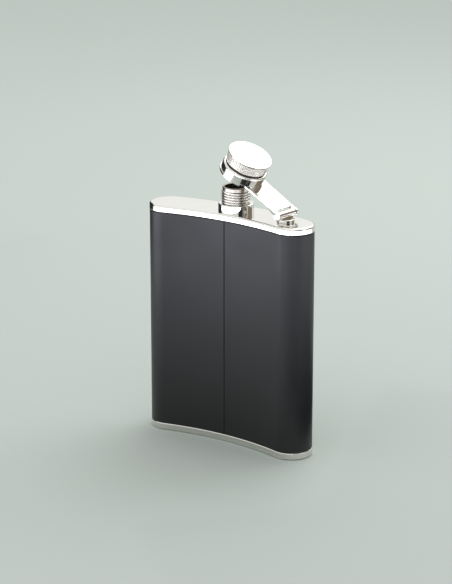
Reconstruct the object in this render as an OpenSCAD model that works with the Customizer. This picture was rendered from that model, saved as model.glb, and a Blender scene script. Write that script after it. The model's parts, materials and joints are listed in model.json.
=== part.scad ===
// Hip flask: a curved steel body in a leather wrap, with a threaded neck and a
// knurled screw cap that stays on a hinged arm.
// Origin: where the neck's axis meets the base. +Z is up, +X runs to the hinge,
// and the hollow of the body faces -Y. Millimetres.

/* [Body] */
// Width over the wrap
body_w = 94; // [78:0.5:115]
// Thickness over the wrap, front to back along the curve's radius
body_t = 21; // [17.5:0.5:27]
// Height from the base to the top plate
body_h = 117.5; // [95:0.5:145]
// Radius that the body is bent to, at the middle of its thickness
bend_r = 144.3; // [110:0.1:400]
// Steel thickness of the tube
tube_wall = 0.6; // [0.4:0.1:1]
// Thickness of the top and bottom plates
plate_t = 0.8; // [0.6:0.1:1.2]
// Height of the polished rim above the wrap
top_rim_h = 3.4; // [2.5:0.1:5]
// Height of the polished rim under the wrap
bottom_rim_h = 3.6; // [2.5:0.1:5]
// Rounding of the rims' outer edges
rim_round = 1; // [0.5:0.1:1.4]
// Rounding of the rims' edges against the wrap
rim_lip_round = 0.4; // [0.2:0.05:0.6]

/* [Wrap] */
// Thickness of the leather wrap
wrap_t = 1; // [0.8:0.1:1.3]
// How far the rims stand proud of the wrap
wrap_inset = 0.1; // [0:0.05:0.2]
// Gap between the wrap's edges and the rims
wrap_edge_gap = 0.1; // [0.05:0.05:0.3]
// Width of the butt seam down the hollow side
seam_gap = 0.4; // [0.2:0.05:0.6]

/* [Neck] */
// Diameter over the thread
thread_d = 14.5; // [12:0.1:17.5]
// Depth of the rolled thread
thread_depth = 0.75; // [0.5:0.05:0.9]
// Distance between two turns of the thread
thread_pitch = 1.3; // [1:0.05:1.8]
// Wall of the neck's tube, between the bore and the root of the thread
neck_wall = 0.75; // [0.5:0.05:1]
// Height of the neck above the top plate
neck_h = 12.2; // [10:0.1:15]
// Height of the smooth lead-in above the thread
lead_h = 2; // [1.5:0.1:2.5]
// How far the lead-in stands out from the root of the thread
lead_step = 0.25; // [0.1:0.05:0.4]
// Height of the collar round the foot of the neck
collar_h = 4; // [3.2:0.1:5]
// Wall of that collar
collar_wall = 2.35; // [1.5:0.05:3]
// Gap between the flange under the top plate and the tube
flange_gap = 0.6; // [0.3:0.1:1]
// Thickness of the flange under the top plate
flange_t = 0.8; // [0.6:0.1:1.2]

/* [Hinge] */
// Distance of the hinge pin from the neck's axis, along the body's width
hinge_x = 31.5; // [26:0.1:38]
// Height of the pin's axis above the top plate
pin_h = 3.65; // [3:0.05:4.5]
// Diameter of the hinge pin
pin_d = 2; // [1.5:0.1:2.5]
// How far a peened head reaches round the pin
pin_head_w = 0.4; // [0.2:0.05:0.6]
// How far a peened head stands off the ear
pin_head_t = 0.35; // [0.2:0.05:0.6]
// Radial running clearance between the pin and the knuckle
pin_fit = 0.06; // [0.02:0.01:0.1]
// Wall of the knuckle round the pin
knuckle_wall = 0.7; // [0.5:0.05:0.9]
// Thickness of the web under the knuckle
web_t = 2; // [1.6:0.1:2.4]
// Height of the web that shows between the knuckle and the foot
web_show = 0.45; // [0.3:0.05:0.6]
// Diameter of the round foot welded to the top plate
foot_d = 8.8; // [7:0.1:11]

/* [Arm] */
// Thickness of the arm's strap
strap_t = 1; // [0.8:0.1:1.2]
// Width of the strap at the hinge
strap_hinge_w = 14; // [12:0.1:16]
// Width of the strap where it runs into the ring
strap_ring_w = 15; // [12:0.1:17]
// Thickness of the two ears that hold the pin
ear_t = 1; // [0.8:0.1:1.4]
// Wall of an ear round the pin
ear_wall = 0.9; // [0.7:0.05:1.1]
// Length of an ear along the strap
ear_len = 7; // [5:0.5:9]
// Height of the cup above the strap
cup_h = 4.3; // [3.5:0.1:6]
// Steel thickness of the cup
cup_wall = 0.7; // [0.5:0.1:0.9]
// Radius of the cup's shoulder
cup_shoulder = 1.4; // [1:0.1:1.7]
// Width of the flat land round the cup's mouth
cup_land = 0.8; // [0.6:0.05:1]
// How far the strap's ring shows outside the cup
ring_lip = 0.3; // [0.1:0.05:0.6]

/* [Cap] */
// Steel of the knurled head outside the sleeve, at its foot
head_wall = 1.5; // [1.2:0.1:2.5]
// How much the head widens to its top, on the radius
head_flare = 0.5; // [0:0.1:0.8]
// Steel of the head over the gasket
head_web = 2.16; // [1.8:0.01:3]
// How far the polished disc stands out from the head, on the radius
disc_lip = 0.2; // [0.1:0.05:0.5]
// Thickness of the disc at its edge
disc_t = 0.6; // [0.4:0.05:0.8]
// How far the disc is domed
disc_dome = 0.4; // [0.2:0.05:0.6]
// Steel thickness of the sleeve outside its thread
sleeve_wall = 0.45; // [0.4:0.05:0.6]
// Radial room between the sleeve's thread and the neck's, so the cap swings clear
thread_room = 0.7; // [0.65:0.05:0.8]
// Depth of the sleeve's thread
sleeve_thread_depth = 0.4; // [0.3:0.05:0.5]
// Thickness of the sealing gasket
gasket_t = 1; // [0.8:0.1:1.2]
// Thickness of the swivel washer under the head
washer_t = 0.6; // [0.5:0.05:0.8]
// Radial width of the retaining ring under the cup
retainer_w = 1.1; // [0.8:0.1:1.2]
// Thickness of the retaining ring
retainer_t = 0.8; // [0.6:0.1:1]

/* [Clearances] */
// Gap between the arm and the collar, and between the head and the cup
seat_gap = 0.3; // [0.2:0.05:0.4]
// Radial gap between the swivel washer and the sleeve
washer_room = 0.1; // [0.05:0.05:0.2]
// Axial gap on each face of the swivel washer
washer_gap = 0.08; // [0.05:0.01:0.12]
// Gap between the gasket and the neck's lip when shut but not yet tight
seal_gap = 0.1; // [0.05:0.05:0.2]
// Gap between an ear and the knuckle's end
ear_gap = 0.3; // [0.15:0.05:0.4]

/* [Pose] */
// How far the arm stands open from shut
open_angle = 27; // [0:1:175]

/* [Hidden] */
$fn = 96;

// colours
steel = "#c9cacb";
bright_steel = "#dcdddd";
leather = "#2b2b2f";
black_seal = "#26241f";
milky_seal = "#d8d6cd";

// body, as half thicknesses from the bent centreline
rim_half = body_t / 2;
wrap_half = rim_half - wrap_inset;
tube_half = wrap_half - wrap_t;
tube_hollow_half = tube_half - tube_wall;
end_x = body_w / 2 - rim_half;
bend_half_angle = asin(end_x / bend_r);
end_y = bend_r * cos(bend_half_angle) - bend_r;
// the round ends are this much slimmer and shorter, and lap this far into the bent middle
end_relief = 0.01;
end_lap = 0.3;

// neck, heights above the top plate
thread_r = thread_d / 2;
neck_r = thread_r - thread_depth;
neck_bore_r = neck_r - neck_wall;
lead_r = neck_r + lead_step;
collar_r = neck_r + collar_wall;
flange_r = tube_hollow_half - flange_gap;
thread_top = neck_h - lead_h;
lip_round = 0.4;
thread_steps = 24;
// how far a thread's ridge is sunk in its wall, and how far it stops short of its ends
thread_sink = 0.3;
thread_runout = 0.1;

// hinge, in the arm's own frame: the pin is the Y axis and the cap is at -X
hinge_y = sqrt(bend_r * bend_r - hinge_x * hinge_x) - bend_r;
hinge_turn = atan2(hinge_y, hinge_x);
reach = sqrt(hinge_x * hinge_x + hinge_y * hinge_y);
pin_r = pin_d / 2;
pin_head_r = pin_r + pin_head_w;
knuckle_r = pin_r + knuckle_wall;
ear_r = pin_r + ear_wall;
foot_h = pin_h - knuckle_r - web_show;
ear_out = strap_hinge_w / 2;
ear_in = ear_out - ear_t;
knuckle_half = ear_in - ear_gap;
web_inset = 1.2;
web_half = knuckle_half - web_inset;

// arm and cap, heights above the pin's axis with the arm shut
strap_low = collar_h + seat_gap - pin_h;
strap_top = strap_low + strap_t;
strap_slot = 0.9;
strap_end = knuckle_r + strap_slot;
cup_top = strap_top + cup_h;
washer_low = cup_top + washer_gap;
head_low = washer_low + washer_t + washer_gap;
gasket_low = neck_h + seal_gap - pin_h;
gasket_top = gasket_low + gasket_t;
head_top = gasket_top + head_web;
crest_r = thread_r + thread_room;
root_r = crest_r + sleeve_thread_depth;
sleeve_r = root_r + sleeve_wall;
cup_mouth_r = sleeve_r + seat_gap;
washer_out_r = cup_mouth_r + cup_land;
cup_r = washer_out_r + cup_shoulder;
ring_r = cup_r + ring_lip;
sleeve_lift = 0.2;
sleeve_low = strap_low + sleeve_lift;
sleeve_lead = 1;
retainer_r = sleeve_r + retainer_w;
ring_hole_r = retainer_r + seat_gap;
head_foot_r = sleeve_r + head_wall;
head_r = head_foot_r + head_flare;
disc_r = head_r + disc_lip;

// rounding of the collar's and the foot's upper edges
edge_round = 0.5;
// how far a cutter runs past what it cuts
cut = 1;

// half profile of a slab with rounded edges: x is the distance from the centreline
module slab_profile(half, low, high, low_round, high_round) {
    polygon(concat(
        [[0, low]],
        quarter(half - low_round, low + low_round, low_round, -90),
        quarter(half - high_round, high - high_round, high_round, 0),
        [[0, high]]));
}

// a solid with the body's bent outline, its walls this far from the centreline
module bent_slab(half, low, high, low_round = 0, high_round = 0) {
    half_angle = bend_half_angle - asin(end_lap / bend_r);
    translate([0, -bend_r, 0])
        rotate([0, 0, 90 - half_angle])
            rotate_extrude(angle = 2 * half_angle, $fn = 360)
                translate([bend_r, 0])
                    for (side = [0, 1])
                        mirror([side, 0]) slab_profile(half, low, high, low_round, high_round);
    for (side = [-1, 1])
        translate([side * end_x, end_y, 0])
            rotate_extrude()
                slab_profile(half - end_relief, low + end_relief, high - end_relief,
                             low_round, high_round);
}

// a quarter round of radius r about [x, y], from angle a to a + 90, or the bare corner
function quarter(x, y, r, a) = r > 0
    ? [for (k = [0:15:90]) [x + r * cos(a + k), y + r * sin(a + k)]]
    : [[x, y]];

// places the arm's own frame on the hinge, opened by open_angle
module on_arm() {
    translate([hinge_x, hinge_y, body_h + pin_h])
        rotate([0, 0, hinge_turn])
            rotate([0, open_angle, 0])
                children();
}

// places the cap's axis in the arm's frame
module on_cap_axis() {
    on_arm() translate([-reach, 0, 0]) children();
}

// a ring between two radii and two heights
module ring(inner_r, outer_r, low, high) {
    translate([0, 0, low])
        difference() {
            cylinder(r = outer_r, h = high - low);
            translate([0, 0, -cut]) cylinder(r = inner_r, h = high - low + 2 * cut);
        }
}

// a right-hand thread ridge: a trapezium swept up a helix from its root to its crest
module thread_ridge(low, high, root, crest) {
    foot = 0.8 * thread_pitch;
    land = 0.25 * thread_pitch;
    steps = ceil((high - low - foot) / thread_pitch * thread_steps);
    rise = (high - low - foot) / steps;
    out = crest > root ? 1 : -1;
    section = [[root, out * foot / 2], [crest, out * land / 2],
               [crest, -out * land / 2], [root, -out * foot / 2]];
    points = [for (k = [0:steps], p = section)
        [p[0] * cos(k * 360 / thread_steps), p[0] * sin(k * 360 / thread_steps),
         low + foot / 2 + k * rise + p[1]]];
    sides = [for (k = [0:steps - 1], i = [0:3])
        let (a = 4 * k + i, b = 4 * k + (i + 1) % 4) each [[a, a + 4, b], [b, a + 4, b + 4]]];
    polyhedron(points, concat([[0, 1, 2], [0, 2, 3]], sides,
                              [[4 * steps, 4 * steps + 2, 4 * steps + 1],
                               [4 * steps, 4 * steps + 3, 4 * steps + 2]]));
}

// the steel tube of the body, open at both ends
module body_tube() {
    color(steel)
        difference() {
            bent_slab(tube_half, plate_t, body_h - plate_t);
            bent_slab(tube_hollow_half, 0, body_h);
        }
}

// the top plate with its turned-down rim, pierced for the neck
module top_plate() {
    color(bright_steel)
        difference() {
            bent_slab(rim_half, body_h - top_rim_h, body_h, rim_lip_round, rim_round);
            bent_slab(tube_half, body_h - top_rim_h - cut, body_h - plate_t);
            translate([0, 0, body_h - 2 * plate_t])
                cylinder(r = neck_r, h = 3 * plate_t);
        }
}

// the bottom plate, the same pressing turned over
module bottom_plate() {
    color(steel)
        difference() {
            bent_slab(rim_half, 0, bottom_rim_h, rim_round, rim_lip_round);
            bent_slab(tube_half, plate_t, bottom_rim_h + cut);
        }
}

// the leather round the tube, meeting edge to edge down the hollow side
module leather_wrap() {
    low = bottom_rim_h + wrap_edge_gap;
    high = body_h - top_rim_h - wrap_edge_gap;
    seam_angle = 2 * asin(seam_gap / 2 / (bend_r - wrap_half));
    color(leather)
        difference() {
            bent_slab(wrap_half, low, high);
            bent_slab(tube_half, low - cut, high + cut);
            translate([0, -bend_r, 0])
                rotate([0, 0, 90 - seam_angle / 2])
                    rotate_extrude(angle = seam_angle, $fn = 360)
                        translate([bend_r - wrap_half - cut, low - cut])
                            square([wrap_t + 2 * cut, high - low + 2 * cut]);
        }
}

// the plain collar round the foot of the neck
module neck_collar() {
    color(bright_steel)
        translate([0, 0, body_h])
            rotate_extrude()
                polygon(concat(
                    [[neck_r, 0], [collar_r, 0]],
                    quarter(collar_r - edge_round, collar_h - edge_round, edge_round, 0),
                    [[neck_r, collar_h]]));
}

// the neck: a tube with a rolled thread, a smooth lead-in and a flange under the plate
module neck_spout() {
    low = -plate_t - flange_t;
    color(bright_steel)
        translate([0, 0, body_h])
            difference() {
                union() {
                    translate([0, 0, low]) cylinder(r = neck_r, h = neck_h - lead_h / 2 - low);
                    translate([0, 0, low]) cylinder(r = flange_r, h = flange_t);
                    thread_ridge(collar_h + thread_runout, thread_top - thread_runout,
                                 neck_r - thread_sink, thread_r);
                    translate([0, 0, thread_top])
                        rotate_extrude()
                            polygon(concat(
                                [[0, 0], [lead_r, 0]],
                                quarter(lead_r - lip_round, lead_h - lip_round, lip_round, 0),
                                [[0, lead_h]]));
                }
                translate([0, 0, low - cut]) cylinder(r = neck_bore_r, h = neck_h - low + 2 * cut);
            }
}

// the round foot welded to the top plate
module hinge_foot() {
    foot_r = foot_d / 2;
    color(steel)
        translate([hinge_x, hinge_y, body_h])
            rotate_extrude()
                polygon(concat(
                    [[0, 0], [foot_r, 0]],
                    quarter(foot_r - edge_round, foot_h - edge_round, edge_round, 0),
                    [[0, foot_h]]));
}

// the knuckle on its web, standing on the foot
module hinge_knuckle() {
    color(steel)
        translate([hinge_x, hinge_y, body_h])
            rotate([0, 0, hinge_turn])
                difference() {
                    union() {
                        translate([0, knuckle_half, pin_h])
                            rotate([90, 0, 0]) cylinder(r = knuckle_r, h = 2 * knuckle_half);
                        translate([-web_t / 2, -web_half, foot_h])
                            cube([web_t, 2 * web_half, pin_h - foot_h]);
                    }
                    translate([0, knuckle_half + cut, pin_h])
                        rotate([90, 0, 0]) cylinder(r = pin_r + pin_fit, h = 2 * (knuckle_half + cut));
                }
}

// the hinge pin, peened over outside both ears
module hinge_pin() {
    end = ear_out + pin_head_t;
    color(bright_steel)
        on_arm()
            rotate([90, 0, 0])
                rotate_extrude()
                    polygon([[0, -end], [pin_r, -end], [pin_head_r, -ear_out], [pin_r, -ear_out],
                             [pin_r, ear_out], [pin_head_r, ear_out], [pin_r, end], [0, end]]);
}

// outline of the strap and its ring, seen from above
module strap_outline() {
    difference() {
        union() {
            translate([-reach, 0]) circle(r = ring_r);
            polygon([[-reach, -strap_ring_w / 2], [-strap_end, -strap_hinge_w / 2],
                     [-strap_end, strap_hinge_w / 2], [-reach, strap_ring_w / 2]]);
        }
        translate([-reach, 0]) circle(r = ring_hole_r);
    }
}

// outline of an ear, seen along the pin
module ear_outline() {
    // where the ear's lower and front edges run into the round about the pin
    under = 0.97 * ear_r * [cos(216), sin(216)];
    front = ear_r / 2;
    difference() {
        union() {
            circle(r = ear_r);
            polygon([[-ear_len, strap_top], [-ear_len, strap_low], under, [0, 0], [front, strap_top]]);
        }
        circle(r = pin_r);
    }
}

// the arm: a flat strap with a ring at one end and two folded ears at the other
module arm_strap() {
    color(bright_steel)
        on_arm() {
            translate([0, 0, strap_low]) linear_extrude(strap_t) strap_outline();
            for (side = [-ear_out, ear_in])
                translate([0, side + ear_t, 0])
                    rotate([90, 0, 0]) linear_extrude(ear_t) ear_outline();
        }
}

// the drawn cup that the cap swivels in, with a rounded shoulder and an open top
module swivel_cup() {
    low = strap_top;
    in_r = cup_r - cup_wall;
    in_top = cup_top - cup_wall;
    in_round = cup_shoulder - cup_wall;
    color(bright_steel)
        on_cap_axis()
            rotate_extrude()
                polygon(concat(
                    [[in_r, low], [cup_r, low]],
                    quarter(cup_r - cup_shoulder, cup_top - cup_shoulder, cup_shoulder, 0),
                    [[cup_mouth_r, cup_top], [cup_mouth_r, in_top]],
                    [for (k = [90:-15:0]) [in_r - in_round + in_round * cos(k),
                                           in_top - in_round + in_round * sin(k)]]));
}

// the dark washer that the head turns on
module swivel_washer() {
    color(black_seal)
        on_cap_axis() ring(sleeve_r + washer_room, washer_out_r, washer_low, washer_low + washer_t);
}

// the head's solid, widening a little to the top, bored for the sleeve
module cap_head() {
    color(steel)
        on_cap_axis()
            difference() {
                translate([0, 0, head_low])
                    cylinder(r1 = head_foot_r, r2 = head_r, h = head_top - head_low);
                translate([0, 0, head_low - cut])
                    cylinder(r = sleeve_r, h = gasket_top - head_low + cut);
            }
}

// the polished disc set on the head
module cap_top_disc() {
    disc_edge = disc_t / 4;
    dome_r = (disc_r * disc_r + disc_dome * disc_dome) / (2 * disc_dome);
    dome_angle = asin(disc_r / dome_r);
    color(bright_steel)
        on_cap_axis()
            translate([0, 0, head_top])
                rotate_extrude()
                    polygon(concat(
                        [[0, 0], [disc_r - disc_edge, 0], [disc_r, disc_edge]],
                        [for (k = [1:-0.125:0])
                            [dome_r * sin(dome_angle * k),
                             disc_t + dome_r * (cos(dome_angle * k) - cos(dome_angle))]]));
}

// the sleeve inside the cap, threaded to take the neck, with a plain mouth and seat
module cap_sleeve() {
    color(steel)
        on_cap_axis() {
            ring(root_r, sleeve_r, sleeve_low, gasket_top);
            thread_ridge(sleeve_low + sleeve_lead, gasket_low - thread_runout,
                         root_r + thread_sink, crest_r);
        }
}

// the gasket that the neck's lip presses on
module cap_gasket() {
    color(milky_seal)
        on_cap_axis()
            translate([0, 0, gasket_low]) cylinder(r = root_r, h = gasket_t);
}

// the ring pressed on the sleeve's foot, which holds the cap in the cup
module cap_retainer() {
    color(steel)
        on_cap_axis() ring(sleeve_r, retainer_r, sleeve_low, sleeve_low + retainer_t);
}

body_tube();
top_plate();
bottom_plate();
leather_wrap();
neck_collar();
neck_spout();
hinge_foot();
hinge_knuckle();
hinge_pin();
arm_strap();
swivel_cup();
swivel_washer();
cap_head();
cap_top_disc();
cap_sleeve();
cap_gasket();
cap_retainer();
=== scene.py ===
"""Hip flask: a bent steel body in a black leather wrap, with a screw cap on a hinged arm.

Metres. Origin where the neck's axis meets the base, +Z up, +X to the hinge, hollow side to -Y.
The flask's sizes come from the CAD nodes. Those given here are finer than the nodes' own.
"""

import json
import math

import bmesh
import bpy
from mathutils import Matrix, Vector


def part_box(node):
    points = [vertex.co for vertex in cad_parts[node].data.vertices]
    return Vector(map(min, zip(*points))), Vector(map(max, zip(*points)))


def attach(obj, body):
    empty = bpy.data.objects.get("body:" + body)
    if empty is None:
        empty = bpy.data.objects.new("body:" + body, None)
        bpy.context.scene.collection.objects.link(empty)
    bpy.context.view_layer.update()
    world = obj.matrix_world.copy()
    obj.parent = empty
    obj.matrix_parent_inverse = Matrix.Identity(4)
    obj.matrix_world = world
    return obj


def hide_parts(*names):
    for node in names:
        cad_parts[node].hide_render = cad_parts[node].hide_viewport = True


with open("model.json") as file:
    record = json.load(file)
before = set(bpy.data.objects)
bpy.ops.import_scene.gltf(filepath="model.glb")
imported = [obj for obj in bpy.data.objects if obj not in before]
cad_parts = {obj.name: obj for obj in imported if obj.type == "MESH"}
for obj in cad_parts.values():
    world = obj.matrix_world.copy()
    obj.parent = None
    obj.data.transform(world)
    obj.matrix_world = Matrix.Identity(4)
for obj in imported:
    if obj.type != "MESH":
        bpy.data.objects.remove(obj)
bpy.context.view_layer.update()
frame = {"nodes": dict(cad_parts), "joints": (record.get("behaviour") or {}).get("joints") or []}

MM = 0.001
nodes = frame["nodes"]
joints = {j["name"]: j for j in frame["joints"]}


# ---------------------------------------------------------------- where things are

def neck_frame():
    """The neck's axis, with heights above the top plate."""
    return Matrix.Translation((0, 0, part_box("top_plate")[1].z))


def cap_frame():
    """The cap's axis, with heights above the hinge pin when the arm is shut."""
    spin = joints["cap_spin"]
    along = Vector(spin["axis"]).normalized()
    pin = Vector(joints["arm_hinge"]["axis"]).normalized()
    across = pin.cross(along).normalized()
    start = Vector(spin["pos_m"])
    start -= along * along.dot(start - Vector(joints["arm_hinge"]["pos_m"]))
    turn = Matrix((across, pin, along)).transposed().to_4x4()
    return Matrix.Translation(start) @ turn


def reach_of(node, place):
    """A node's lowest and highest point along an axis, and its nearest and farthest from it."""
    back = place.inverted()
    points = [back @ v.co for v in nodes[node].data.vertices]
    heights = [p.z for p in points]
    radii = [math.hypot(p.x, p.y) for p in points]
    return min(heights), max(heights), min(radii), max(radii)


NECK = neck_frame()
CAP = cap_frame()

# the body's centreline is an arc through the neck's axis, ending at the round ends' centres
plate_low, plate_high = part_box("top_plate")
rim_half = plate_high.y
end_x = plate_high.x - rim_half
end_y = plate_low.y + rim_half
bend_radius = -(end_x ** 2 + end_y ** 2) / (2 * end_y)
bend_angle = math.asin(end_x / bend_radius)

# each skin stands this far from the centreline
wrap_low, wrap_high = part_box("leather_wrap")
wrap_half = wrap_high.y
tube_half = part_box("body_tube")[1].y


# ---------------------------------------------------------------- finishes

def linear(hex_colour):
    """An sRGB hex colour as a linear colour."""
    parts = [int(hex_colour[i:i + 2], 16) / 255 for i in (1, 3, 5)]
    return tuple(c / 12.92 if c <= 0.04045 else ((c + 0.055) / 1.055) ** 2.4 for c in parts) + (1,)


def add(tree, kind, sockets=None, **settings):
    """A node with its settings, its sockets set to values or linked from other nodes' sockets."""
    made = tree.nodes.new(kind)
    for key, value in settings.items():
        setattr(made, key, value)
    for key, value in (sockets or {}).items():
        if isinstance(value, bpy.types.NodeSocket):
            tree.links.new(value, made.inputs[key])
        else:
            made.inputs[key].default_value = value
    return made


def new_finish(name, **principled):
    """An empty material with a Principled shader, and its tree, shader and Object coordinates."""
    finish = bpy.data.materials.new(name)
    finish.use_nodes = True
    tree = finish.node_tree
    tree.nodes.clear()
    shader = add(tree, "ShaderNodeBsdfPrincipled", principled)
    add(tree, "ShaderNodeOutputMaterial", {"Surface": shader.outputs["BSDF"]})
    place = add(tree, "ShaderNodeTexCoord").outputs["Object"]
    return finish, tree, shader, place


def vary(tree, shader, pattern, colours, roughness, spread=(0.0, 1.0)):
    """Lets a pattern vary a finish between two colours, and over its spread two roughnesses."""
    tint = add(tree, "ShaderNodeValToRGB", {"Fac": pattern})
    for stop, colour in zip(tint.color_ramp.elements, colours):
        stop.color = linear(colour)
    dull = add(tree, "ShaderNodeMapRange",
               {"Value": pattern, "From Min": spread[0], "From Max": spread[1],
                "To Min": roughness[0], "To Max": roughness[1]})
    tree.links.new(tint.outputs["Color"], shader.inputs["Base Color"])
    tree.links.new(dull.outputs["Result"], shader.inputs["Roughness"])


def polished_stainless():
    """Pressed stainless steel buffed on a cotton wheel: mirror bright, with faint wipe marks."""
    finish, tree, shader, place = new_finish("stainless_mirror_buffed", Metallic=1.0)
    smears = add(tree, "ShaderNodeTexNoise",
                 {"Vector": place, "Scale": 1 / (9 * MM), "Detail": 3.0})
    vary(tree, shader, smears.outputs["Fac"], ("#dddbd6", "#ebe9e4"), (0.07, 0.15), (0.3, 0.75))
    # the wheel's marks lie level, so their pattern is squeezed in height
    squeeze = add(tree, "ShaderNodeMapping", {"Vector": place, "Scale": (1.0, 1.0, 12.0)})
    wheel = add(tree, "ShaderNodeTexNoise",
                {"Vector": squeeze.outputs["Vector"], "Scale": 1 / (2.5 * MM), "Detail": 4.0})
    marks = add(tree, "ShaderNodeBump",
                {"Height": wheel.outputs["Fac"], "Strength": 0.05, "Distance": 0.02 * MM})
    tree.links.new(marks.outputs["Normal"], shader.inputs["Normal"])
    return finish


def turned_stainless():
    """Stainless steel as it comes off the lathe: satin, a little warmer and greyer."""
    finish, tree, shader, place = new_finish("stainless_turned", Metallic=1.0)
    rings = add(tree, "ShaderNodeTexNoise",
                {"Vector": place, "Scale": 1 / (0.8 * MM), "Detail": 3.0})
    vary(tree, shader, rings.outputs["Fac"], ("#d4cec4", "#ece7de"), (0.18, 0.28))
    return finish


def groove_shaded_stainless():
    """Stainless steel with painted shade: its colour is darkened and browned over the whole neck so
    the thread's grooves read dark; its roughness is the rolled finish.
    """
    finish, tree, shader, place = new_finish("stainless_painted_groove_shade", Metallic=1.0)
    tracks = add(tree, "ShaderNodeTexNoise",
                 {"Vector": place, "Scale": 1 / (0.7 * MM), "Detail": 3.0})
    vary(tree, shader, tracks.outputs["Fac"], ("#8f877c", "#aaa298"), (0.2, 0.32))
    return finish


def black_leather():
    """Bonded leather, dyed through and rolled smooth: near black, a soft sheen, hair-fine grain."""
    finish, tree, shader, place = new_finish(
        "leather_bonded_smooth", **{"IOR": 1.5, "Specular IOR Level": 0.42})
    hide = add(tree, "ShaderNodeTexNoise",
               {"Vector": place, "Scale": 1 / (18 * MM), "Detail": 5.0})
    vary(tree, shader, hide.outputs["Fac"], ("#141416", "#1b1b1e"), (0.36, 0.43), (0.3, 0.7))
    # the real grain is about 0.5 mm across and hardly shows
    grain = add(tree, "ShaderNodeTexVoronoi",
                {"Vector": place, "Scale": 1 / (0.55 * MM)}, feature="DISTANCE_TO_EDGE")
    pores = add(tree, "ShaderNodeTexNoise",
                {"Vector": place, "Scale": 1 / (0.3 * MM), "Detail": 4.0})
    relief = add(tree, "ShaderNodeMath",
                 {0: grain.outputs["Distance"], 1: pores.outputs["Fac"]}, operation="ADD")
    skin = add(tree, "ShaderNodeBump",
               {"Height": relief.outputs["Value"], "Strength": 0.4, "Distance": 0.05 * MM})
    tree.links.new(skin.outputs["Normal"], shader.inputs["Normal"])
    return finish


def black_nylon():
    """Moulded nylon: matt black with the faint bloom of the mould."""
    finish, tree, shader, place = new_finish("nylon_moulded", **{"IOR": 1.53})
    bloom = add(tree, "ShaderNodeTexNoise",
                {"Vector": place, "Scale": 1 / (1.5 * MM), "Detail": 2.0})
    vary(tree, shader, bloom.outputs["Fac"], ("#171614", "#24221f"), (0.45, 0.6))
    return finish


def dark_tube_coat():
    """A dark, dull coat on the steel tube, uneven in tone, so the seam between the leather's edges
    shows as a dark line.
    """
    finish, tree, shader, place = new_finish("tube_coloured_dark_for_seam", **{"IOR": 1.5})
    tone_patches = add(tree, "ShaderNodeTexNoise",
                  {"Vector": place, "Scale": 1 / (2 * MM), "Detail": 3.0})
    vary(tree, shader, tone_patches.outputs["Fac"], ("#161310", "#26201a"), (0.5, 0.7))
    return finish


def milky_silicone():
    """Moulded silicone rubber: translucent and milky, with a dull skin."""
    finish, tree, shader, place = new_finish(
        "silicone_moulded",
        **{"IOR": 1.41, "Subsurface Weight": 0.3, "Subsurface Scale": 1.0 * MM})
    haze = add(tree, "ShaderNodeTexNoise",
               {"Vector": place, "Scale": 1 / (2.5 * MM), "Detail": 2.0})
    vary(tree, shader, haze.outputs["Fac"], ("#d3d0c6", "#e2e0d8"), (0.4, 0.55))
    return finish


mirror_steel = polished_stainless()
turned_steel = turned_stainless()
groove_shaded_steel = groove_shaded_stainless()
leather = black_leather()
nylon = black_nylon()
silicone = milky_silicone()
dark_tube_finish = dark_tube_coat()


# ---------------------------------------------------------------- making shapes

def rotated(v, angle):
    """A flat vector turned by an angle."""
    c, s = math.cos(angle), math.sin(angle)
    return Vector((v.x * c - v.y * s, v.x * s + v.y * c))


def eased(corners, radii, steps=4):
    """A closed profile with its corners rounded, and a support point beside each round.

    radii is one radius for all corners or a list of one each, where 0 keeps the corner.
    """
    most_of_side = 0.45
    support = 0.03 * MM
    made = []
    count = len(corners)
    for i in range(count):
        here = Vector(corners[i])
        before = Vector(corners[i - 1]) - here
        after = Vector(corners[(i + 1) % count]) - here
        r = radii[i] if isinstance(radii, list) else radii
        if r <= 0:
            made.append(tuple(here))
            continue
        half = before.angle(after) / 2
        cut = min(r / math.tan(half), before.length * most_of_side, after.length * most_of_side)
        a, b = before.normalized(), after.normalized()
        r = cut * math.tan(half)
        centre = here + (a + b).normalized() * (r / math.sin(half))
        start, end = here + a * cut, here + b * cut
        beside = min(support, cut * 0.3)
        made.append(tuple(start + a * beside))
        turn = (start - centre).angle_signed(end - centre)
        for k in range(steps + 1):
            made.append(tuple(centre + rotated(start - centre, -turn * k / steps)))
        made.append(tuple(end + b * beside))
    return made


def plain_mesh(name, shape):
    """The mesh of a bmesh shape, which is then freed."""
    mesh = bpy.data.meshes.new(name)
    shape.to_mesh(mesh)
    shape.free()
    return mesh


def mesh_from_rings(name, rings, closed):
    """Quads between rings of points. closed joins the last ring to the first.

    A ring of one point is a pole.
    """
    shape = bmesh.new()
    rows = [[shape.verts.new(p) for p in ring] for ring in rings]
    pairs = list(zip(rows, rows[1:])) + ([(rows[-1], rows[0])] if closed else [])
    for low, high in pairs:
        count = max(len(low), len(high))
        if count == 1:
            continue
        for i in range(count):
            j = (i + 1) % count
            corners = [low[i % len(low)], low[j % len(low)],
                       high[j % len(high)], high[i % len(high)]]
            shape.faces.new(list(dict.fromkeys(corners)))
    bmesh.ops.recalc_face_normals(shape, faces=shape.faces)
    return plain_mesh(name, shape)


def in_scene(name, data):
    """A new object in the scene with this mesh, light or camera."""
    made = bpy.data.objects.new(name, data)
    bpy.context.scene.collection.objects.link(made)
    return made


def piece(name, mesh, finish, body, stands_for=(), sharp=40):
    """Puts a finished mesh in the scene, smooth except at sharp edges, and ties it to its body."""
    mesh.name = name
    mesh.materials.clear()
    mesh.materials.append(finish)
    mesh.polygons.foreach_set("use_smooth", [True] * len(mesh.polygons))
    mesh.set_sharp_from_angle(angle=math.radians(sharp))
    made = in_scene(name, mesh)
    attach(made, body)
    if stands_for:
        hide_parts(*stands_for)
    return made


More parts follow.
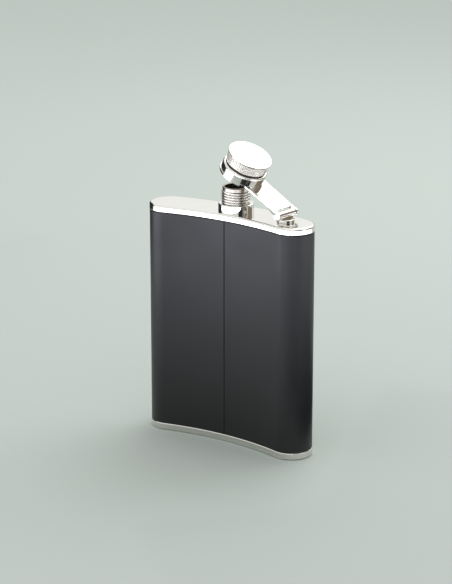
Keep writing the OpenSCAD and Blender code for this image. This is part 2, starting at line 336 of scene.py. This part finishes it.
def turned(profile, place, steps=96, closed=True):
    """A profile of (radius, height) points turned about an axis. Radius 0 is a pole."""
    turns = [2 * math.pi * k / steps for k in range(steps)]
    rings = []
    for r, z in profile:
        if r == 0:
            rings.append([place @ Vector((0, 0, z))])
        else:
            rings.append([place @ Vector((r * math.cos(a), r * math.sin(a), z)) for a in turns])
    return mesh_from_rings("turned", rings, closed)


ARC_STEPS = 72
END_STEPS = 36


def outline(half, z):
    """The body's bent outline this far from its centreline, anticlockwise from the hollow side."""
    points = []
    for side, low, high in ((-half, -bend_angle, bend_angle), (half, bend_angle, -bend_angle)):
        r = bend_radius + side
        for k in range(ARC_STEPS):
            a = low + (high - low) * k / ARC_STEPS
            points.append(Vector((r * math.sin(a), r * math.cos(a) - bend_radius, z)))
        x = math.copysign(end_x, high)
        start = -math.pi / 2 - high if side < 0 else math.pi / 2 - high
        for k in range(END_STEPS):
            a = start + math.pi * k / END_STEPS
            points.append(Vector((x + half * math.cos(a), end_y + half * math.sin(a), z)))
    return points


def hole(radius, z):
    """A round hole's edge about the neck, its points facing the outline's own."""
    return [Vector((p.x, p.y, 0)).normalized() * radius + Vector((0, 0, z))
            for p in outline(rim_half, 0)]


# ---------------------------------------------------------------- the body

top_z = plate_high.z
plate_thick = top_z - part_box("body_tube")[1].z


def rim_profile(height):
    """A pressed plate's edge, in (distance from the centreline, depth below its face)."""
    inside = rim_half / 2
    corners = [(inside, 0), (rim_half, 0), (rim_half, height), (tube_half, height),
               (tube_half, plate_thick), (inside, plate_thick)]
    return eased(corners, [0, 1.0 * MM, 0.4 * MM, 0.1 * MM, 0.05 * MM, 0])[1:-1]


neck_low, neck_high, bore_radius, flange_radius = reach_of("neck_spout", NECK)
collar_low, collar_high, neck_radius, collar_radius = reach_of("neck_collar", NECK)

# top plate: the flat face runs in to the hole for the neck
rings = [hole(neck_radius, top_z)]
rings += [outline(half, top_z - depth) for half, depth in rim_profile(top_z - plate_low.z)]
rings += [hole(neck_radius, top_z - plate_thick)]
piece("top_rim", mesh_from_rings("top_rim", rings, True), mirror_steel, "flask",
      ["top_plate"])

# bottom plate: the same pressing turned over, closed across the middle
base_low, base_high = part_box("bottom_plate")
rings = [[Vector((0, 0, 0))]]
rings += [outline(half, depth) for half, depth in rim_profile(base_high.z - base_low.z)]
rings += [[Vector((0, 0, plate_thick))]]
piece("bottom_rim", mesh_from_rings("bottom_rim", rings, False), mirror_steel, "flask",
      ["bottom_plate"])


def wrap_mesh():
    """The leather, butted down the hollow side: its cut edges roll in a little at the seam."""
    seam_half = 0.12 * MM
    roll = 0.35 * MM
    sink = roll * 0.7
    roll_steps = 5
    low, high = wrap_low.z, wrap_high.z
    section = eased([(wrap_half, low), (wrap_half, high), (tube_half, high), (tube_half, low)],
                    [0.3 * MM, 0.3 * MM, 0, 0])
    # start each outline at the seam, in the middle of the hollow side, and end it there again
    seam_at = ARC_STEPS // 2
    rings = []
    for half, z in section:
        ring = outline(half, z)
        rings.append(ring[seam_at:] + ring[:seam_at] + [ring[seam_at]])
    columns = [list(c) for c in zip(*rings)]
    # extra columns close to the seam carry the rolled edge, on its outer side only
    step = (columns[1][0] - columns[0][0]).length
    right, left = [], []
    for k in range(roll_steps + 1):
        bend = math.pi / 2 * k / roll_steps
        away = seam_half + roll * (1 - math.cos(bend))
        drop = sink * (1 - math.sin(bend))
        for store, near, far in ((right, columns[0], columns[1]),
                                 (left, columns[-1], columns[-2])):
            column = []
            for p, q, (half, _) in zip(near, far, section):
                sunk = drop if half > wrap_half - roll else 0
                column.append(p.lerp(q, away / step) + Vector((0, sunk, 0)))
            store.append(column)
    columns = right + columns[1:-1] + left[::-1]
    shape = bmesh.new()
    grid = [[shape.verts.new(p) for p in column] for column in columns]
    tall = len(section)
    for a, b in zip(grid, grid[1:]):
        for i in range(tall):
            j = (i + 1) % tall
            shape.faces.new([a[i], a[j], b[j], b[i]])
    shape.faces.new(grid[0])
    shape.faces.new(grid[-1][::-1])
    bmesh.ops.recalc_face_normals(shape, faces=shape.faces)
    return plain_mesh("wrap", shape)


piece("wrap", wrap_mesh(), leather, "flask", ["leather_wrap"], sharp=50)

# collar round the neck's foot
piece("collar", turned(eased([(neck_radius, collar_low), (collar_radius, collar_low),
                              (collar_radius, collar_high), (neck_radius, collar_high)],
                             [0, 0, 0.5 * MM, 0.1 * MM]), NECK),
      mirror_steel, "flask", ["neck_collar"])


# ---------------------------------------------------------------- threads

def growing_tree(name, numbers, takes_mesh):
    """An empty geometry tree with named number inputs and a Finish, and the inputs' identifiers."""
    tree = bpy.data.node_groups.new(name, "GeometryNodeTree")
    tree.interface.new_socket("Geometry", in_out="OUTPUT", socket_type="NodeSocketGeometry")
    if takes_mesh:
        tree.interface.new_socket("Geometry", in_out="INPUT", socket_type="NodeSocketGeometry")
    ids = {}
    for label, value in numbers:
        made = tree.interface.new_socket(label, in_out="INPUT", socket_type="NodeSocketFloat")
        made.default_value = value
        ids[label] = made.identifier
    made = tree.interface.new_socket("Finish", in_out="INPUT", socket_type="NodeSocketMaterial")
    ids["Finish"] = made.identifier
    return tree, ids


def end_tree(tree, geometry, finish):
    """Ends a geometry tree with plain geometry in its finish."""
    real = add(tree, "GeometryNodeRealizeInstances", {"Geometry": geometry})
    coated = add(tree, "GeometryNodeSetMaterial",
                 {"Geometry": real.outputs["Geometry"], "Material": finish})
    add(tree, "NodeGroupOutput", {"Geometry": coated.outputs["Geometry"]})


def thread_tree():
    """Sweeps a round bead up a helix, thinned away at both ends, as a rolled thread runs out."""
    tree, ids = growing_tree("rolled_thread",
                             (("Turns", 4.0), ("Pitch", 1.3 * MM), ("Radius", 6 * MM),
                              ("Bead", 0.5 * MM)), takes_mesh=False)
    run_out, thinnest = 0.06, 0.35
    given = add(tree, "NodeGroupInput").outputs
    rise = add(tree, "ShaderNodeMath", {0: given["Turns"], 1: given["Pitch"]}, operation="MULTIPLY")
    helix = add(tree, "GeometryNodeCurveSpiral",
                {"Resolution": 64, "Rotations": given["Turns"], "Start Radius": given["Radius"],
                 "End Radius": given["Radius"], "Height": rise.outputs["Value"]})
    along = add(tree, "GeometryNodeSplineParameter").outputs["Factor"]
    back = add(tree, "ShaderNodeMath", {0: 1.0, 1: along}, operation="SUBTRACT")
    nearest = add(tree, "ShaderNodeMath", {0: along, 1: back.outputs["Value"]}, operation="MINIMUM")
    swell = add(tree, "ShaderNodeMapRange",
                {"Value": nearest.outputs["Value"], "From Max": run_out, "To Min": thinnest},
                interpolation_type="SMOOTHSTEP")
    shaped = add(tree, "GeometryNodeSetCurveRadius",
                 {"Curve": helix.outputs["Curve"], "Radius": swell.outputs["Result"]})
    bead = add(tree, "GeometryNodeCurvePrimitiveCircle",
               {"Resolution": 14, "Radius": given["Bead"]})
    swept = add(tree, "GeometryNodeCurveToMesh",
                {"Curve": shaped.outputs["Curve"], "Profile Curve": bead.outputs["Curve"],
                 "Fill Caps": True})
    end_tree(tree, swept.outputs["Mesh"], given["Finish"])
    return tree, ids


def grown(tree, ids, values, base=None):
    """Runs a geometry tree with these input values and returns the plain mesh it gives."""
    holder = in_scene("seed", base or bpy.data.meshes.new("seed"))
    work = holder.modifiers.new("work", "NODES")
    work.node_group = tree
    for name, value in values.items():
        work[ids[name]] = value
    depsgraph = bpy.context.evaluated_depsgraph_get()
    mesh = bpy.data.meshes.new_from_object(holder.evaluated_get(depsgraph))
    holder.modifiers.remove(work)
    bpy.data.objects.remove(holder)
    return mesh


def placed(mesh, place):
    """Moves a mesh's own points to its place."""
    mesh.transform(place)
    return mesh


thread, thread_ids = thread_tree()

# the neck: its lead-in is the smooth part above the thread
pitch = 1.3 * MM
thread_radius = 7.25 * MM
lead_height = 2.0 * MM
lead_radius = 6.75 * MM
bead = 0.45 * MM
thread_gap = 0.2 * MM
thread_low = collar_high + thread_gap
thread_top = neck_high - lead_height
turns = (thread_top - thread_low) / pitch

# from the flange under the top plate up to the rolled-over lip
under = -plate_thick
neck_profile = eased(
    [(bore_radius, neck_low), (flange_radius, neck_low), (flange_radius, under),
     (neck_radius, under), (neck_radius, thread_top), (lead_radius, thread_top),
     (lead_radius, neck_high), (bore_radius, neck_high)],
    [0.2 * MM, 0.2 * MM, 0.1 * MM, 0, 0.1 * MM, 0.25 * MM, 0.4 * MM, 0.3 * MM])
# the neck's steel colour is darkened to paint the shade in the thread's grooves
piece("neck", turned(neck_profile, NECK), groove_shaded_steel, "flask", ["neck_spout"])
ridge = grown(thread, thread_ids,
              {"Turns": turns, "Pitch": pitch, "Radius": thread_radius - bead, "Bead": bead,
               "Finish": mirror_steel})
piece("neck_thread", placed(ridge, NECK @ Matrix.Translation((0, 0, thread_low))),
      mirror_steel, "flask")


# ---------------------------------------------------------------- the hinge and arm

def finished_copy(node, body, ease):
    """The node's own shape as one clean polished skin, its edges eased as tumbling leaves them."""
    merge_within, flat_within, round_above = 0.002 * MM, math.radians(0.6), math.radians(32)
    shape = bmesh.new()
    shape.from_mesh(nodes[node].data)
    bmesh.ops.remove_doubles(shape, verts=shape.verts, dist=merge_within)
    bmesh.ops.dissolve_limit(shape, angle_limit=flat_within, verts=shape.verts,
                             edges=shape.edges)
    name = node + "_skin"
    holder = in_scene("seed", plain_mesh(name, shape))
    edge = holder.modifiers.new("edge", "BEVEL")
    edge.width = ease
    edge.segments = 3
    edge.limit_method = "ANGLE"
    edge.angle_limit = round_above
    weigh = holder.modifiers.new("weigh", "WEIGHTED_NORMAL")
    weigh.keep_sharp = True
    depsgraph = bpy.context.evaluated_depsgraph_get()
    eased_mesh = bpy.data.meshes.new_from_object(holder.evaluated_get(depsgraph))
    bpy.data.objects.remove(holder)
    piece(name, eased_mesh, mirror_steel, body, [node])


finished_copy("hinge_foot", "flask", 0.05 * MM)
finished_copy("hinge_knuckle", "flask", 0.12 * MM)
finished_copy("hinge_pin", "arm", 0.05 * MM)
finished_copy("arm_strap", "arm", 0.18 * MM)

# the cup: a drawn shell on the arm's ring, with a rounded shoulder round its mouth
cup_low, cup_high, cup_mouth, cup_radius = reach_of("swivel_cup", CAP)
cup_wall = 0.7 * MM
cup_corners = [(cup_radius - cup_wall, cup_low), (cup_radius, cup_low), (cup_radius, cup_high),
               (cup_mouth, cup_high), (cup_mouth, cup_high - cup_wall),
               (cup_radius - cup_wall, cup_high - cup_wall)]
cup_shoulder = 1.4 * MM
cup_eases = [0, 0.1 * MM, cup_shoulder, 0.15 * MM, 0.1 * MM, cup_shoulder - cup_wall]
piece("cup", turned(eased(cup_corners, cup_eases, 8), CAP, 128), mirror_steel, "arm",
      ["swivel_cup"])


# ---------------------------------------------------------------- the cap

# the washer and the retaining ring
for node, name, finish, body, slot in (
        ("swivel_washer", "washer", nylon, "washer", "nylon_black"),
        ("cap_retainer", "retainer", turned_steel, "cap", "steel_brushed")):
    low, high, inner, outer = reach_of(node, CAP)
    corners = [(inner, low), (outer, low), (outer, high), (inner, high)]
    piece(name, turned(eased(corners, 0.12 * MM), CAP), finish, body, [node])

head_low, head_high, _, head_radius = reach_of("cap_head", CAP)
sleeve_low, sleeve_high, _, sleeve_radius = reach_of("cap_sleeve", CAP)
head_foot = 10.3 * MM
# the grid that carries the knurl: 8 faces round each of its 72 diamonds
KNURL_ROWS = 44
KNURL_STEPS = 576


def knurl_tree():
    """Presses a diamond knurl into the marked band of a turned solid: two crossing helices."""
    tree, ids = growing_tree("diamond_knurl",
                             (("Diamonds Round", 60.0), ("Diamond Height", 1 * MM),
                              ("Depth", 0.2 * MM)), takes_mesh=True)
    given = add(tree, "NodeGroupInput").outputs
    point = add(tree, "GeometryNodeInputPosition").outputs["Position"]
    parts = add(tree, "ShaderNodeSeparateXYZ", {0: point}).outputs
    angle = add(tree, "ShaderNodeMath", {0: parts["Y"], 1: parts["X"]}, operation="ARCTAN2")
    share = add(tree, "ShaderNodeMath", {0: angle.outputs[0], 1: 2 * math.pi}, operation="DIVIDE")
    diamonds = add(tree, "ShaderNodeMath", {0: share.outputs[0], 1: given["Diamonds Round"]},
                   operation="MULTIPLY")
    rows = add(tree, "ShaderNodeMath", {0: parts["Z"], 1: given["Diamond Height"]},
               operation="DIVIDE")
    hills = []
    for crossing in ("ADD", "SUBTRACT"):
        phase = add(tree, "ShaderNodeMath", {0: diamonds.outputs[0], 1: rows.outputs[0]},
                    operation=crossing)
        hills.append(add(tree, "ShaderNodeMath", {0: phase.outputs[0], 1: 0.5},
                         operation="PINGPONG").outputs[0])
    pyramid = add(tree, "ShaderNodeMath", {0: hills[0], 1: hills[1]}, operation="MINIMUM")
    hollow = add(tree, "ShaderNodeMath", {0: 0.5, 1: pyramid.outputs[0]}, operation="SUBTRACT")
    band = add(tree, "GeometryNodeInputNamedAttribute", {"Name": "knurled"}, data_type="FLOAT")
    marked = add(tree, "ShaderNodeMath", {0: hollow.outputs[0], 1: band.outputs["Attribute"]},
                 operation="MULTIPLY")
    deep = add(tree, "ShaderNodeMath", {0: marked.outputs[0], 1: given["Depth"]},
               operation="MULTIPLY")
    inward = add(tree, "ShaderNodeMath", {0: deep.outputs[0], 1: -2.0}, operation="MULTIPLY")
    flat = add(tree, "ShaderNodeCombineXYZ", {"X": parts["X"], "Y": parts["Y"]})
    out = add(tree, "ShaderNodeVectorMath", {0: flat.outputs["Vector"]}, operation="NORMALIZE")
    move = add(tree, "ShaderNodeVectorMath",
               {0: out.outputs["Vector"], "Scale": inward.outputs[0]}, operation="SCALE")
    pressed = add(tree, "GeometryNodeSetPosition",
                  {"Geometry": given["Geometry"], "Offset": move.outputs["Vector"]})
    end_tree(tree, pressed.outputs["Geometry"], given["Finish"])
    return tree, ids


def head_mesh():
    """The head turned solid, bored for the sleeve, its side a fine grid ready for the knurl."""
    chamfer = 0.25 * MM
    side = [(head_foot + (head_radius - head_foot) * k / KNURL_ROWS,
             head_low + chamfer + (head_high - head_low - 2 * chamfer) * k / KNURL_ROWS)
            for k in range(KNURL_ROWS + 1)]
    profile = [(0, sleeve_high), (sleeve_radius, sleeve_high), (sleeve_radius, head_low),
               (head_foot - chamfer, head_low)]
    profile += side
    profile += [(head_radius - chamfer, head_high), (0, head_high)]
    mesh = turned(profile, Matrix.Identity(4), KNURL_STEPS, closed=False)
    # all of the side but its first and last row takes the knurl
    low, high = side[1][1], side[-2][1]
    nearest = head_foot - 0.01 * MM
    mark = mesh.attributes.new("knurled", "FLOAT", "POINT")
    mark.data.foreach_set("value", [
        1.0 if low <= v.co.z <= high and math.hypot(v.co.x, v.co.y) > nearest else 0.0
        for v in mesh.vertices])
    return mesh


knurl, knurl_ids = knurl_tree()
pressed = grown(knurl, knurl_ids,
                {"Diamonds Round": 72.0, "Diamond Height": 0.95 * MM, "Depth": 0.24 * MM,
                 "Finish": turned_steel}, head_mesh())
piece("head", placed(pressed, CAP), turned_steel, "cap", ["cap_head"], sharp=30)

# the disc: domed, with a crisp eased edge
disc_low, disc_high, _, disc_radius = reach_of("cap_top_disc", CAP)
dome = 0.4 * MM
dome_radius = (disc_radius ** 2 + dome ** 2) / (2 * dome)
disc_profile = [(0, disc_low)]
disc_profile += eased([(0, disc_low), (disc_radius, disc_low), (disc_radius, disc_high - dome),
                       (disc_radius * 0.9, disc_high - dome * 0.81)],
                      [0, 0.12 * MM, 0.15 * MM, 0])[1:-1]
for share in (0.96, 0.9, 0.8, 0.65, 0.5, 0.35, 0.2, 0.1, 0.04):
    r = disc_radius * share
    disc_profile.append((r, disc_high - dome_radius + math.sqrt(dome_radius ** 2 - r ** 2)))
disc_profile += [(0, disc_high)]
piece("top_disc", turned(disc_profile, CAP, 128, closed=False), mirror_steel, "cap",
      ["cap_top_disc"])

# the sleeve and the thread rolled inside it
root_radius = sleeve_radius - 0.45 * MM
crest_radius = root_radius - 0.4 * MM
inner_bead = bead * 0.8
gasket_low, gasket_high, _, _ = reach_of("cap_gasket", CAP)
piece("sleeve", turned(eased([(root_radius, sleeve_low), (sleeve_radius, sleeve_low),
                              (sleeve_radius, sleeve_high), (root_radius, sleeve_high)],
                             [0.12 * MM, 0.12 * MM, 0, 0]), CAP),
      turned_steel, "cap", ["cap_sleeve"])
inner_low = sleeve_low + 1.2 * MM
inner_turns = (gasket_low - inner_low - bead) / pitch
inner = grown(thread, thread_ids,
              {"Turns": inner_turns, "Pitch": pitch, "Radius": crest_radius + inner_bead,
               "Bead": inner_bead, "Finish": turned_steel})
piece("sleeve_thread", placed(inner, CAP @ Matrix.Translation((0, 0, inner_low))),
      turned_steel, "cap")
piece("gasket", turned([(0, gasket_low)]
                       + eased([(0, gasket_low), (root_radius, gasket_low),
                                (root_radius, gasket_high), (0, gasket_high)],
                               [0, 0.1 * MM, 0, 0])[1:-1]
                       + [(0, gasket_high)], CAP, closed=False),
      silicone, "cap", ["cap_gasket"])

# the tube shows only in the seam: it is coloured dark, so the seam shows as a dark line
nodes["body_tube"].data.materials.clear()
nodes["body_tube"].data.materials.append(dark_tube_finish)


# ---------------------------------------------------------------- stage, light and camera

def flat_sheet(name, size, place, finish):
    """A flat square on the stage."""
    shape = bmesh.new()
    bmesh.ops.create_grid(shape, x_segments=1, y_segments=1, size=size / 2)
    mesh = placed(plain_mesh(name, shape), place)
    mesh.materials.append(finish)
    made = in_scene(name, mesh)
    return made


def matt_paper(name, colour):
    """Dyed paper: matt, in one plain colour, for the floor and the cards."""
    finish, _, shader, _ = new_finish(name, Roughness=0.9)
    shader.inputs["Base Color"].default_value = linear(colour)
    return finish


flat_sheet("floor", 8.0, Matrix.Identity(4), matt_paper("paper_sweep", "#b4bcb7"))


def direction(azimuth, elevation):
    """A unit vector towards an azimuth and elevation, in degrees: azimuth 0 is the hollow side."""
    a, e = math.radians(azimuth), math.radians(elevation)
    return Vector((math.sin(a) * math.cos(e), -math.cos(a) * math.cos(e), math.sin(e)))


def level(azimuth, distance, height):
    """A flat frame on the stage: its Y axis points away from the flask, towards an azimuth."""
    return (Matrix.Translation(direction(azimuth, 0) * distance + Vector((0, 0, height)))
            @ Matrix.Rotation(math.radians(azimuth + 180), 4, "Z"))


def upright(azimuth, distance, height):
    """A frame standing on the stage, its Z axis pointing away from the flask."""
    away = direction(azimuth, 0)
    return (Matrix.Translation(away * distance + Vector((0, 0, height)))
            @ away.to_track_quat("Z", "Y").to_matrix().to_4x4())


def soft_light(name, place, width, depth, brightness, colour="#ffffff"):
    """A soft rectangular light facing its own +Z, as bright as this many white sheets.

    The lens doesn't see it.
    """
    lamp = bpy.data.lights.new(name, "AREA")
    lamp.shape = "RECTANGLE"
    lamp.size, lamp.size_y = width, depth
    lamp.energy = brightness * math.pi * width * depth
    lamp.color = linear(colour)[:3]
    made = in_scene(name, lamp)
    made.matrix_world = place @ Matrix.Rotation(math.pi, 4, "X")
    made.visible_camera = False


def flag(name, colour, size, place):
    """A matt card seen only as a reflection, which gives the steel its dark bands."""
    card = flat_sheet(name, size, place, matt_paper("card", colour))
    card.visible_camera = False
    card.visible_shadow = False
    card.visible_diffuse = False


# a large box behind and above
overhead = direction(180, 45)
key_place = (Matrix.Translation(Vector((0, 0, top_z)) + overhead * 0.9)
             @ (-overhead).to_track_quat("Z", "Y").to_matrix().to_4x4())
soft_light("key", key_place, width=0.9, depth=0.7, brightness=1.5)
# cool white boards lying round the front and right, which lift the leather and the rims
for name, azimuth, brightness in (("board_left", -55, 3.4), ("board_front", -18, 4.2),
                                  ("board_corner", 30, 2.6), ("board_end", 68, 1.7),
                                  ("board_side", 105, 2.2)):
    soft_light(name, level(azimuth, distance=0.60, height=0.01), 0.52, 0.6, brightness, "#eff0ff")
# cards for the reflections: black at the left, right and front, brown behind the arm
flag("flag_left", "#0c0c0c", 0.38, upright(-98, 0.35, 0.13))
flag("flag_right", "#0c0c0c", 0.2, upright(66, 0.30, 0.17))
flag("flag_back", "#857665", 0.36, upright(133, 0.45, 0.27))
flag("flag_front", "#0c0c0c", 0.14, level(48, 0.17, 0.004))
flag("flag_end", "#0c0c0c", 0.18, level(112, 0.15, 0.004))

# the room: white above, dimmer near the horizon, as a studio's walls are
world = bpy.data.worlds.new("studio")
world.use_nodes = True
room = world.node_tree
room.nodes.clear()
look = add(room, "ShaderNodeTexCoord").outputs["Generated"]
height = add(room, "ShaderNodeSeparateXYZ", {0: look}).outputs["Z"]
wall = add(room, "ShaderNodeValToRGB", {"Fac": height})
wall.color_ramp.elements[0].color = linear("#8e908d")
wall.color_ramp.elements[1].position = 0.25
wall.color_ramp.elements[1].color = linear("#f0f1f0")
sky = add(room, "ShaderNodeBackground", {"Color": wall.outputs["Color"], "Strength": 1.2})
add(room, "ShaderNodeOutputWorld", {"Surface": sky.outputs["Background"]})
bpy.context.scene.world = world
bpy.context.scene.view_settings.view_transform = "Standard"

# camera: a long lens, at the flask's right front, a little above it
camera_back = direction(35.26, 17.12)
aim = Vector((-6.14, 0, 74.44)) * MM
camera_distance = 1.1
lens = bpy.data.cameras.new("camera")
lens.sensor_width = 36
lens.lens = 136.63
lens.clip_start, lens.clip_end = 0.05, 30
camera = in_scene("camera", lens)
camera.location = aim + camera_back * camera_distance
camera.rotation_mode = "QUATERNION"
camera.rotation_quaternion = (-camera_back).to_track_quat("-Z", "Y")
bpy.context.scene.camera = camera

bpy.context.view_layer.update()
